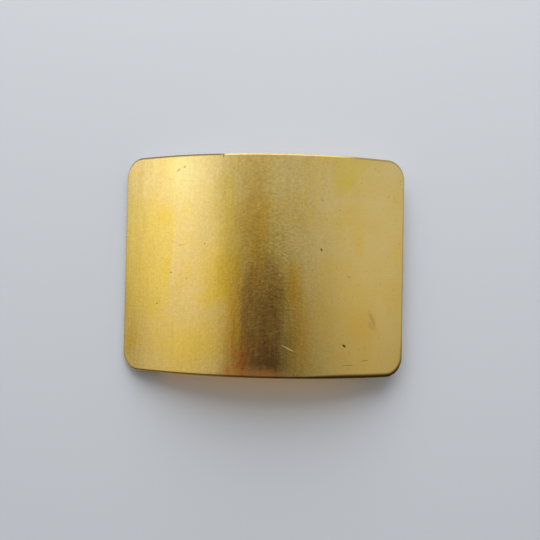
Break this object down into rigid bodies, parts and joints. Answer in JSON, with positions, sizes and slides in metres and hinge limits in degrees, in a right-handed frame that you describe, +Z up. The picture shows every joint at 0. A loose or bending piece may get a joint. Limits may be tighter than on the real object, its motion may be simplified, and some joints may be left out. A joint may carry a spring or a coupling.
{
  "type": "belt buckle",
  "caption": "Curved rectangular brass plate buckle with a folded hook and a swinging wire belt frame with prong behind it.",
  "frame": {"origin": "centre of the whole buckle's box with the wire frame folded in", "axes": "+X to the hook side, the viewer's right when the face is seen square on; +Y from the face to the belt; +Z up as worn"},
  "size_m": [0.0722, 0.0126, 0.055],
  "materials": {
    "plate_brass": "satin, vertical grain, tarnished",
    "strip_brass": "mill finish, dulled",
    "steel_wire": "drawn wire, dull nickel wash",
    "prong_steel": "sheared strip, dull nickel wash",
    "solder": "soft solder, dull grey"
  },
  "bodies": {
    "plate": {"face_plate": "plate_brass", "hook": "strip_brass", "hook_solder": "solder", "upper_ear": "strip_brass", "lower_ear": "strip_brass", "upper_ear_solder": "solder", "lower_ear_solder": "solder"},
    "frame": {"belt_frame": "steel_wire"},
    "prong": {"prong": "prong_steel"}
  },
  "joints": [
    {"name": "frame_hinge", "type": "hinge", "parent": "plate", "child": "frame", "pos_m": [-0.009, -0.00202, 0], "axis": [0, 0, -1], "range_deg": [0, 110]},
    {"name": "prong_hinge", "type": "hinge", "parent": "frame", "child": "prong", "pos_m": [-0.009, -0.00202, 0], "axis": [0, 0, -1], "range_deg": [0, 60]}
  ]
}
